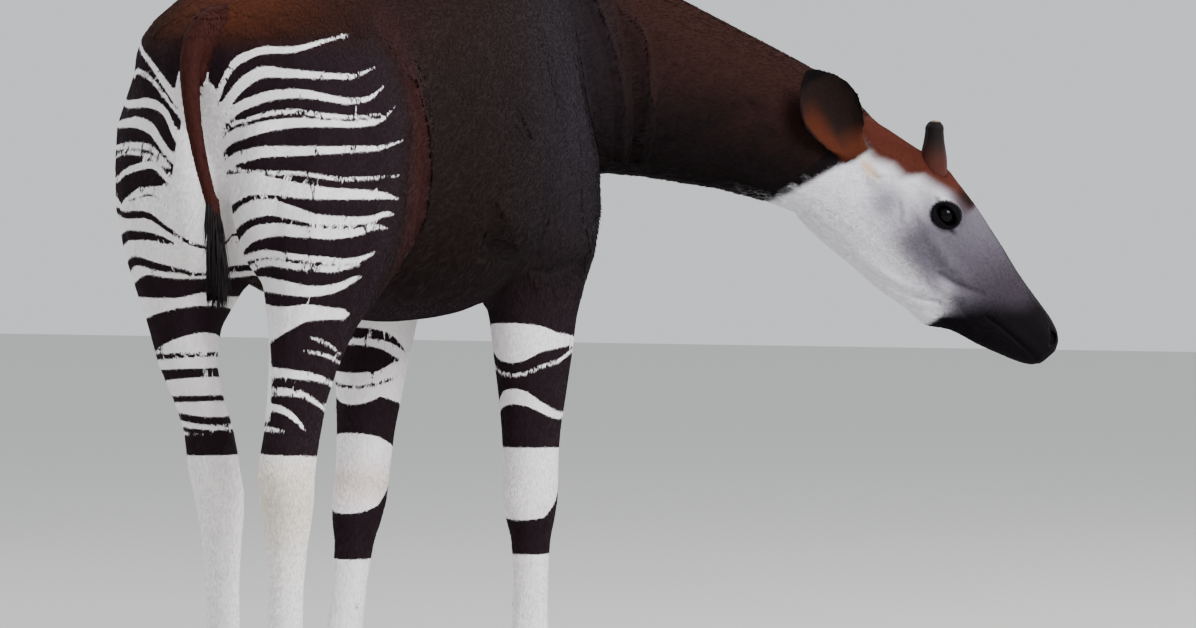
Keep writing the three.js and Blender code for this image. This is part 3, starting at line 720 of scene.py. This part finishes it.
# How far each point of the skin is moved outwards.
def formSkin(co, normal):
    onHead = inHead(co)
    flat = onHead[:, [0, 2]]
    sideways = np.clip(np.abs(onHead[:, 1]) / 0.03, 0, 1) * (np.abs(normal @ headLeft) > 0.2)
    faceShare = sideways * onFace(co) * ~onEar(co)
    rise = np.zeros(len(co))
    for line, width, height in faceFolds.values():
        rise += faceShare * height * np.exp(-(toLine(flat, line) / width) ** 2)
    for centre, reach, height in faceForms:
        rise += faceShare * height * blob(flat, centre, reach)
    lidX, lidY = onHead[:, 0] - head["eyeAlong"], onHead[:, 2] - head["eyeAbove"]
    ring = np.hypot(lidX, lidY / lid["flatness"])
    upper = smooth(-0.01, 0.012, lidY)
    for place, width, height, upperHeight in (lid["rim"], lid["furrow"]):
        rise += faceShare * (height + upperHeight * upper) * np.exp(-((ring - place) / width) ** 2)
    slit = np.exp(-(toLine(flat, nostril["line"]) / nostril["width"]) ** 2) * (np.abs(onHead[:, 1]) > 0.014)
    rise -= nostril["depth"] * slit * onFace(co)
    for side in (1, -1):
        foot = np.exp(-(fromOssicone(co, side)[1] / ossicone["footReach"]) ** 2)
        rise += ossicone["footRise"] * foot * onFace(co)
    body = inBody(co)
    mirrored = body.copy()
    mirrored[:, 1] = -np.abs(body[:, 1])
    for points, folds in ((body, neckFolds), (mirrored, trunkFolds)):
        for line, width, height in folds:
            rise += height * np.exp(-(toLine(points, line) / width) ** 2)
    return rise


# One skin over all the flesh, joined across the gaps.
skinShape = {
    "closeGaps": 0.0006,
    "voxel": 0.003,
    "bodySmoothing": 60,
    "headSmoothing": 6,
    "facesKept": 196000,
}


def headShareOf(co):
    body, onHead = inBody(co), inHead(co)
    return smooth(-0.02, 0.05, onHead[:, 0]) * smooth(-0.3, -0.25, onHead[:, 2]) * (body[:, 0] > 0.7)


# Where the skin keeps more of its faces: head, ears, stripes and the folds of the neck.
def fineShareOf(co):
    body, onHead = inBody(co), inHead(co)
    stripes = smooth(-0.36, -0.42, body[:, 0]) * smooth(1.3, 1.26, body[:, 2])
    stripes = np.maximum(stripes, smooth(0.8, 0.76, body[:, 2]))
    ears = smooth(0.03, 0.0, onHead[:, 0]) * smooth(-0.2, -0.18, onHead[:, 0])
    ears *= smooth(0.06, 0.075, np.abs(onHead[:, 1])) * smooth(-0.18, -0.14, onHead[:, 2])
    folds = blob(body, (0.55, -0.18, 1.15), (0.12, 0.1, 0.25))
    return headShareOf(co) + ears + 0.75 * stripes + 0.4 * folds


skin = copyOfNodes("coat_skin", fleshNodes)
bpy.ops.object.mode_set(mode="EDIT")
bpy.ops.mesh.select_all(action="SELECT")
bpy.ops.transform.shrink_fatten(value=skinShape["closeGaps"])
bpy.ops.object.mode_set(mode="OBJECT")
applied(skin, "REMESH", "oneSkin", mode="VOXEL", voxel_size=skinShape["voxel"], adaptivity=0.0)
report(f"skin remeshed, {len(skin.data.vertices)} points")

co = places(skin)
body = inBody(co)
tailShare = smooth(-0.628, -0.634, body[:, 0]) * (np.abs(body[:, 1]) < 0.09)
setWeights(skin, "body", np.clip(1 - headShareOf(co) - tailShare, 0, 1))
fineShare = fineShareOf(co)
applied(skin, "SMOOTH", "bodySmooth", factor=0.5, iterations=skinShape["bodySmoothing"], vertex_group="body")
applied(skin, "SMOOTH", "allSmooth", factor=0.5, iterations=skinShape["headSmoothing"])
report("smoothed")
co, normal = places(skin), normals(skin)
setPlaces(skin, co + normal * formSkin(co, normal)[:, None])
report("folds and features")
setWeights(skin, "fine", np.clip(1 - fineShare, 0, 1))
ratio = skinShape["facesKept"] / (len(skin.data.polygons) * 2)
applied(skin, "DECIMATE", "lighter", ratio=ratio, vertex_group="fine", vertex_group_factor=1.0)
report(f"decimated to {len(skin.data.polygons)}")
selectOnly(skin)
bpy.ops.object.mode_set(mode="EDIT")
bpy.ops.mesh.select_all(action="SELECT")
bpy.ops.uv.smart_project(angle_limit=1.15, island_margin=0.002)
bpy.ops.object.mode_set(mode="OBJECT")
report("unwrapped")

# The skin lies under the coat by the coat's depth.
coatDepth = {"body": 0.003, "head": 0.0015, "ear": 0.0006}
co, normal = places(skin), normals(skin)
depth = coatDepth["body"] + (coatDepth["head"] - coatDepth["body"]) * headShareOf(co)
depth = np.where(onEar(co), coatDepth["ear"], depth)
setPlaces(skin, co - normal * depth[:, None])
co, normal = places(skin), normals(skin)
setColours(skin, co, normal)
setFloat(skin, "whiteDepth", np.where(onFace(co), allDark, whiteDepth(inBody(co))))
selectOnly(skin)
bpy.ops.object.shade_smooth()
for layer in skin.data.uv_layers:
    layer.name = "OFBake"
report("skin coloured")


# Dark and pale colours meet where whiteDepth crosses 0, a little unevenly.
coatLook = {"roughness": 0.75, "shine": 0.06, "speckle": 260.0, "wander": 0.002, "edge": (0.0004, 0.0016),
            "relief": 0.2, "reliefDepth": 0.0012}


def attributeNode(nodes, name):
    node = nodes.new("ShaderNodeAttribute")
    node.attribute_name = name
    return node


def coatMaterial(name, grain):
    material = bpy.data.materials.new(name)
    material.use_nodes = True
    nodes, links = material.node_tree.nodes, material.node_tree.links
    shader = nodes["Principled BSDF"]
    dark = attributeNode(nodes, "darkCoat")
    pale = attributeNode(nodes, "paleCoat")
    depthNode = attributeNode(nodes, "whiteDepth")
    place = nodes.new("ShaderNodeTexCoord")
    speckle = nodes.new("ShaderNodeTexNoise")
    speckle.inputs["Scale"].default_value = coatLook["speckle"]
    speckle.inputs["Detail"].default_value = 2.0
    links.new(place.outputs["Object"], speckle.inputs["Vector"])
    wander = nodes.new("ShaderNodeMath")
    wander.operation = "MULTIPLY_ADD"
    wander.inputs[1].default_value = coatLook["wander"]
    links.new(speckle.outputs["Fac"], wander.inputs[0])
    links.new(depthNode.outputs["Fac"], wander.inputs[2])
    edge = nodes.new("ShaderNodeMapRange")
    edge.inputs["From Min"].default_value = coatLook["edge"][0]
    edge.inputs["From Max"].default_value = coatLook["edge"][1]
    links.new(wander.outputs["Value"], edge.inputs["Value"])
    mix = nodes.new("ShaderNodeMix")
    mix.data_type = "RGBA"
    links.new(edge.outputs["Result"], mix.inputs["Factor"])
    links.new(dark.outputs["Color"], mix.inputs["A"])
    links.new(pale.outputs["Color"], mix.inputs["B"])
    links.new(mix.outputs["Result"], shader.inputs["Base Color"])
    hairs = nodes.new("ShaderNodeTexNoise")
    hairs.inputs["Scale"].default_value = grain
    hairs.inputs["Detail"].default_value = 3.0
    links.new(place.outputs["Object"], hairs.inputs["Vector"])
    relief = nodes.new("ShaderNodeBump")
    relief.inputs["Strength"].default_value = coatLook["relief"]
    relief.inputs["Distance"].default_value = coatLook["reliefDepth"]
    links.new(hairs.outputs["Fac"], relief.inputs["Height"])
    links.new(relief.outputs["Normal"], shader.inputs["Normal"])
    shader.inputs["Roughness"].default_value = coatLook["roughness"]
    shader.inputs["Specular IOR Level"].default_value = coatLook["shine"]
    return material


def plainMaterial(name, colour, roughness, shine):
    material = bpy.data.materials.new(name)
    material.use_nodes = True
    shader = material.node_tree.nodes["Principled BSDF"]
    shader.inputs["Base Color"].default_value = (*colour, 1.0)
    shader.inputs["Roughness"].default_value = roughness
    shader.inputs["Specular IOR Level"].default_value = shine
    return material


shortCoat = coatMaterial("shortCoat", grain=420.0)
skin.data.materials.append(shortCoat)
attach(skin, "root")
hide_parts(*fleshNodes)


# The coat: thin flat tufts laid along the hair's lie.
def lieOfHair(co, normal):
    body, onHead = inBody(co), inHead(co)
    x, z = body[:, 0], body[:, 2]
    lie = np.zeros_like(co)
    lie[:, 0] = -1
    lie[:, 2] = -0.35
    down = np.maximum(smooth(0.95, 0.8, z), smooth(-0.40, -0.55, x) * smooth(1.35, 1.2, z))
    lie[:, 0] += 0.85 * down
    lie[:, 2] -= 1.0 * down
    neckShare = smooth(0.5, 0.68, x)[:, None]
    lie = lie * (1 - neckShare) + np.array([-0.8, 0.5, -0.25]) * neckShare
    headShare = (smooth(0.0, 0.08, onHead[:, 0]) * smooth(-0.34, -0.3, onHead[:, 2]) * (x > 0.7))[:, None]
    faceLie = -headForward - 0.35 * headUp * smooth(0.0, -0.1, onHead[:, 2])[:, None]
    lie = lie * (1 - headShare) + faceLie * headShare
    ears = onEar(co)
    for side in (1, -1):
        here = ears & (onHead[:, 1] * side > 0)
        lie[here] = earAxes(side)[0]
    tail = onTail(body)
    lie[tail] = (-0.1, 0, -1)
    lie -= normal * (lie * normal).sum(1)[:, None]
    return lie / np.maximum(np.linalg.norm(lie, axis=1), 1e-6)[:, None]


coat = {
    "seed": 11,
    "tufts": 365000,
    "crowding": {"body": 1.3, "haunch": 3.0, "legs": 2.6, "face": 5.0, "ears": 6.0},
    "bodyLength": 0.013,
    "legLength": 0.0058,
    "faceLength": 0.0052,
    "earLength": 0.0045,
    "widthShare": 0.25,
    "legWidthShare": 0.34,
    "faceWidthShare": 0.24,
    "narrowest": 0.0009,
    "highest": 0.0014,
    "foot": -0.0005,
    "tuftsInPiece": 48000,
}
# A tuft is a flat wedge: two corners at its foot, one over it and the tip.
tuftFaces = np.array([(0, 2, 1), (0, 1, 3), (1, 2, 3), (2, 0, 3)])
tuftPatch = np.array([(-0.0012, -0.0008), (0.0012, -0.0008), (0.0, 0.0002), (0.0, 0.0014)])


def growCoat():
    mesh = skin.data
    mesh.calc_loop_triangles()
    count = len(mesh.loop_triangles)
    corners = np.empty(count * 3, int)
    mesh.loop_triangles.foreach_get("vertices", corners)
    corners = corners.reshape(-1, 3)
    loops = np.empty(count * 3, int)
    mesh.loop_triangles.foreach_get("loops", loops)
    loops = loops.reshape(-1, 3)
    uv = np.empty(len(mesh.loops) * 2)
    mesh.uv_layers["OFBake"].data.foreach_get("uv", uv)
    uv = uv.reshape(-1, 2)
    co, normal = places(skin), normals(skin)
    a, b, c = co[corners[:, 0]], co[corners[:, 1]], co[corners[:, 2]]
    area = np.linalg.norm(np.cross(b - a, c - a), axis=1) / 2
    centre = (a + b + c) / 3
    body = inBody(centre)
    crowding = coat["crowding"]
    want = np.full(count, crowding["body"])
    want = np.where((body[:, 0] < -0.4) & (body[:, 2] < 1.3) & (body[:, 2] > 0.55), crowding["haunch"], want)
    want = np.where(body[:, 2] < 0.8, crowding["legs"], want)
    want = np.where(onFace(centre), crowding["face"], want)
    want = np.where(onEar(centre), crowding["ears"], want)
    rng = np.random.default_rng(coat["seed"])
    chosen = rng.choice(count, coat["tufts"], p=area * want / (area * want).sum())
    r1, r2 = np.sqrt(rng.random(len(chosen))), rng.random(len(chosen))
    share = np.stack([1 - r1, r1 * (1 - r2), r1 * r2], 1)

    def blend(values, index):
        return (values[index[chosen]] * share[:, :, None]).sum(1)

    root = blend(co, corners)
    n = blend(normal, corners)
    n /= np.linalg.norm(n, axis=1)[:, None]
    flat = np.cross(b - a, c - a)[chosen]
    flat /= np.maximum(np.linalg.norm(flat, axis=1), 1e-12)[:, None]
    rootUV = blend(uv, loops)
    keep = clearOfEyes(root)
    root, n, flat, rootUV = [values[keep] for values in (root, n, flat, rootUV)]
    body = inBody(root)
    order = np.argsort(body[:, 0] * 3 + body[:, 2])  # neighbours come into the same piece
    root, n, flat, rootUV = [values[order] for values in (root, n, flat, rootUV)]
    body, onHead = inBody(root), inHead(root)
    total = len(root)
    isHead = onFace(root)
    length = np.full(total, coat["bodyLength"])
    length = np.where(body[:, 2] < 0.8, coat["legLength"], length)
    length = np.where((body[:, 0] < -0.4) & (body[:, 2] < 1.25), coat["legLength"], length)
    length = np.where(isHead, coat["faceLength"] * (1 - 0.45 * smooth(0.4, 0.53, onHead[:, 0])), length)
    ears = onEar(root)
    length = np.where(ears, coat["earLength"], length)
    length *= 0.8 + 0.4 * rng.random(total)
    lie = lieOfHair(root, flat)
    side = np.cross(flat, lie)
    turn = rng.normal(0, 0.16, total)[:, None]
    lie, side = lie * np.cos(turn) + side * np.sin(turn), side * np.cos(turn) - lie * np.sin(turn)
    widthShare = np.where((body[:, 2] < 0.8) | (body[:, 0] < -0.4), coat["legWidthShare"], coat["widthShare"])
    widthShare = np.where(isHead | ears, coat["faceWidthShare"], widthShare)
    width = np.maximum(length * widthShare, coat["narrowest"])
    lift = np.minimum(length * (0.13 + 0.06 * rng.random(total)), coat["highest"])
    rise = np.minimum(width * 0.35, 0.0006)
    points = np.empty((total, 4, 3))
    points[:, 0] = root + flat * coat["foot"] - side * width[:, None] / 2
    points[:, 1] = root + flat * coat["foot"] + side * width[:, None] / 2
    points[:, 2] = root + flat * rise[:, None] + lie * length[:, None] * 0.25
    points[:, 3] = root + flat * lift[:, None] + lie * length[:, None]
    spread = 0.82 + 0.36 * rng.random(total)
    halfway = root + lie * length[:, None] * 0.45
    white = np.where(onFace(root), allDark, whiteDepth(inBody(halfway)))
    # Every corner of a tuft is shaded like the skin under its root.
    facing = n + lie * 0.12
    facing /= np.linalg.norm(facing, axis=1)[:, None]
    pieces = []
    for number, start in enumerate(range(0, total, coat["tuftsInPiece"])):
        part = slice(start, min(start + coat["tuftsInPiece"], total))
        amount = part.stop - part.start
        whole = bpy.data.meshes.new(f"coat_tufts_{number}")
        index = (tuftFaces[None] + 4 * np.arange(amount)[:, None, None]).reshape(-1, 3)
        whole.from_pydata(points[part].reshape(-1, 3), [], index)
        piece = bpy.data.objects.new(whole.name, whole)
        bpy.context.scene.collection.objects.link(piece)
        layer = whole.uv_layers.new(name="OFBake")
        patches = (rootUV[part][:, None, :] + tuftPatch[None]).reshape(-1, 2)
        layer.data.foreach_set("uv", patches[index.ravel()].ravel())
        setColours(piece, np.repeat(root[part], 4, 0), np.repeat(n[part], 4, 0), np.repeat(spread[part], 4))
        setFloat(piece, "whiteDepth", np.repeat(white[part] + 0.0002, 4))
        whole.polygons.foreach_set("use_smooth", np.ones(len(index), bool))
        whole.normals_split_custom_set_from_vertices(np.repeat(facing[part], 4, 0))
        whole.materials.append(tuftCoat)
        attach(piece, "root")
        pieces.append(piece)
    return pieces


eyeClearance = 0.024


def clearOfEyes(co):
    clear = np.ones(len(co), bool)
    for node in ("eye_left", "eye_right"):
        clear &= np.linalg.norm(co - middleOf(node), axis=1) > eyeClearance
    return clear


# Locks with three sides, flat and tapered to a point.
def lockMesh(name, locks):
    points, faces = [], []
    segments = 5
    for root, way, bend, side, length, width in locks:
        first = len(points)
        for step in range(segments):
            t = step / segments
            middle = root + way * length * t + bend * length * t * t
            half = width / 2 * (1 - t) ** 0.7 * (0.6 + 0.8 * t if t < 0.5 else 1.0)
            thick = np.cross(side, way) * half * 0.5
            points += [middle - side * half, middle + side * half, middle + thick]
        points.append(root + way * length + bend * length)
        faces.append((first, first + 2, first + 1))
        for step in range(segments - 1):
            a = first + 3 * step
            for corner in range(3):
                b = (corner + 1) % 3
                faces.append((a + corner, a + b, a + 3 + b, a + 3 + corner))
        a, tip = first + 3 * (segments - 1), len(points) - 1
        faces += [(a + corner, a + (corner + 1) % 3, tip) for corner in range(3)]
    mesh = bpy.data.meshes.new(name)
    mesh.from_pydata(points, [], faces)
    piece = bpy.data.objects.new(name, mesh)
    bpy.context.scene.collection.objects.link(piece)
    selectOnly(piece)
    bpy.ops.object.mode_set(mode="EDIT")
    bpy.ops.mesh.select_all(action="SELECT")
    bpy.ops.mesh.normals_make_consistent(inside=False)
    bpy.ops.uv.smart_project(angle_limit=1.15, island_margin=0.001)
    bpy.ops.object.mode_set(mode="OBJECT")
    mesh.uv_layers[0].name = "OFBake"
    bpy.ops.object.shade_smooth()
    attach(piece, "root")
    return piece


tailTuft = {
    "seed": 5,
    "locks": 700,
    "from": 0.975,
    "to": 0.84,
    "lowest": 0.795,
    "length": (0.05, 0.095),
    "width": 0.0035,
}


def growTailTuft():
    rng = np.random.default_rng(tailTuft["seed"])
    locks = []
    line = tailLine[::-1]
    for _ in range(tailTuft["locks"]):
        z = tailTuft["to"] + (tailTuft["from"] - tailTuft["to"]) * rng.random() ** 0.7
        centre = np.array([np.interp(z, line[:, 2], line[:, 0]), np.interp(z, line[:, 2], line[:, 1]), z])
        angle = rng.random() * 2 * math.pi
        out = np.array([math.cos(angle), math.sin(angle), 0.0])
        reach = np.interp(z, [0.84, 0.9, 0.975], [0.006, 0.014, 0.010]) * (0.4 + 0.6 * rng.random())
        way = out * rng.uniform(0.05, 0.2) + np.array([0.03, -0.02, -1.0])
        way /= np.linalg.norm(way)
        side = np.cross(way, out)
        side /= np.linalg.norm(side)
        bend = -out * rng.uniform(0.02, 0.16)
        length = min(rng.uniform(*tailTuft["length"]), z - tailTuft["lowest"])
        width = tailTuft["width"] * rng.uniform(0.6, 1.3)
        locks.append((centre + out * reach + bodyOrigin, way, bend, side, length, width))
    piece = lockMesh("tail_tuft_locks", locks)
    piece.data.materials.append(plainMaterial("tailHair", coatColours["tuft"], 0.6, 0.2))


growTailTuft()

lashes = {
    "seed": 3,
    "hairs": 46,
    "length": 0.013,
    "width": 0.0011,
    "out": 0.062,
    "colour": (0.004, 0.003, 0.003),
}


def growLashes():
    rng = np.random.default_rng(lashes["seed"])
    hairs = []
    for side in (1, -1):
        eyeCentre = poll + headForward * head["eyeAlong"] + headUp * head["eyeAbove"]
        eyeCentre += headLeft * side * lashes["out"]
        for step in range(lashes["hairs"]):
            angle = math.radians(-25 + 230 * (step + 0.5) / lashes["hairs"])
            around = headForward * math.cos(angle) + headUp * math.sin(angle) * 0.9
            root = eyeCentre + around * 0.0195 + headLeft * side * 0.0135
            way = headLeft * side * 0.85 + around * 0.75 + headForward * 0.15 * rng.normal()
            way /= np.linalg.norm(way)
            across = np.cross(way, headLeft * side)
            across /= np.linalg.norm(across)
            upperShare = max(math.sin(angle), 0.25)
            bend = around * 0.1 - headUp * 0.35
            length = lashes["length"] * upperShare * rng.uniform(0.8, 1.15)
            hairs.append((root, way, bend, across, length, lashes["width"]))
    piece = lockMesh("eye_lashes", hairs)
    piece.data.materials.append(plainMaterial("lashHair", lashes["colour"], 0.5, 0.2))


growLashes()

tuftCoat = coatMaterial("tuftCoat", grain=600.0)
coatPieces = growCoat()
report(f"coat of {len(coatPieces)} pieces")


eye = {"radius": 0.0218, "colour": (0.0022, 0.0016, 0.002)}
eyeMaterial = plainMaterial("wetEye", eye["colour"], 0.09, 0.1)
for node in ("eye_left", "eye_right"):
    bpy.ops.object.select_all(action="DESELECT")
    centre = Vector(middleOf(node))
    bpy.ops.mesh.primitive_uv_sphere_add(segments=48, ring_count=24, radius=eye["radius"], location=centre)
    ball = bpy.context.active_object
    ball.name = f"{node}_ball"
    bpy.ops.object.transform_apply(location=True, rotation=True, scale=True)
    bpy.ops.object.shade_smooth()
    ball.data.materials.append(eyeMaterial)
    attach(ball, "root")
    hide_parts(node)

hoofMaterial = plainMaterial("hoofHorn", (0.022, 0.016, 0.014), 0.5, 0.25)
# From the ossicone's foot to its bare pale tip.
hornColours = [
    (-0.4, (0.075, 0.018, 0.011)),
    (0.2, (0.050, 0.014, 0.010)),
    (0.45, (0.020, 0.008, 0.007)),
    (0.65, (0.008, 0.005, 0.005)),
    (0.955, (0.007, 0.005, 0.005)),
    (0.99, (0.40, 0.33, 0.25)),
    (1.1, (0.55, 0.47, 0.36)),
]


def hornMaterial():
    material = plainMaterial("hornSkin", (0.06, 0.022, 0.018), 0.7, 0.12)
    nodes, links = material.node_tree.nodes, material.node_tree.links
    colour = attributeNode(nodes, "hornColour")
    links.new(colour.outputs["Color"], nodes["Principled BSDF"].inputs["Base Color"])
    return material


hornSkin = hornMaterial()
for node, side in (("ossicone_left", 1), ("ossicone_right", -1)):
    horn = copyOfNodes(f"{node}_skin", [node])
    applied(horn, "SUBSURF", "rounder", levels=3, render_levels=3)
    bpy.ops.object.shade_smooth()
    t = fromOssicone(places(horn), side)[0]
    marks = np.array([mark[0] for mark in hornColours])
    rgba = np.ones((len(t), 4))
    for channel in range(3):
        rgba[:, channel] = np.interp(t, marks, [mark[1][channel] for mark in hornColours])
    layer = horn.data.attributes.new("hornColour", "FLOAT_COLOR", "POINT")
    layer.data.foreach_set("color", rgba.ravel())
    horn.data.materials.append(hornSkin)
    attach(horn, "root")
    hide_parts(node)
for leg in legNames:
    for half in ("outer", "inner"):
        node = f"{leg}_claw_{half}"
        claw = copyOfNodes(f"{node}_horn", [node])
        bpy.ops.object.shade_smooth_by_angle(angle=math.radians(40))
        claw.data.materials.append(hoofMaterial)
        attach(claw, "root")
        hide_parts(node)
report("eyes, ossicones and claws")

# Floor, lights and the camera.
bpy.ops.object.select_all(action="DESELECT")
bpy.ops.mesh.primitive_plane_add(size=40)
floor = bpy.context.active_object
floor.name = "floor"
floor.data.materials.append(plainMaterial("paleFloor", (0.62, 0.62, 0.60), 0.9, 0.3))
world = bpy.data.worlds.new("studio")
bpy.context.scene.world = world
world.use_nodes = True
world.node_tree.nodes["Background"].inputs["Color"].default_value = (0.95, 0.97, 1.0, 1.0)
world.node_tree.nodes["Background"].inputs["Strength"].default_value = 0.85


def lookFrom(thing, place, target):
    thing.location = Vector(place)
    thing.rotation_euler = (Vector(target) - Vector(place)).to_track_quat("-Z", "Y").to_euler()


# Each lamp: place, size in metres and power.
lamps = {
    "key": ((-2.5, -4.5, 4.6), 2.5, 500.0),
    "fill": ((4.5, -4.0, 2.4), 4.0, 190.0),
    "back": ((-1.0, 4.5, 3.6), 3.0, 120.0),
}
for name, (place, size, power) in lamps.items():
    bpy.ops.object.light_add(type="AREA", location=place)
    lamp = bpy.context.active_object
    lamp.name = f"{name}Light"
    lamp.data.size = size
    lamp.data.energy = power
    lookFrom(lamp, place, (0.0, 0.0, 0.9))
view = {"place": (-8.87596, -4.6128, 1.04843), "target": (0.15807, -0.33372, 0.77326), "lens": 172.48}
bpy.ops.object.camera_add()
camera = bpy.context.active_object
camera.name = "camera"
camera.data.lens = view["lens"]
camera.data.sensor_width = 36.0
camera.data.clip_end = 60.0
lookFrom(camera, np.array(view["place"]) + bodyOrigin, np.array(view["target"]) + bodyOrigin)
bpy.context.scene.camera = camera

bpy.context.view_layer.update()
report("done")
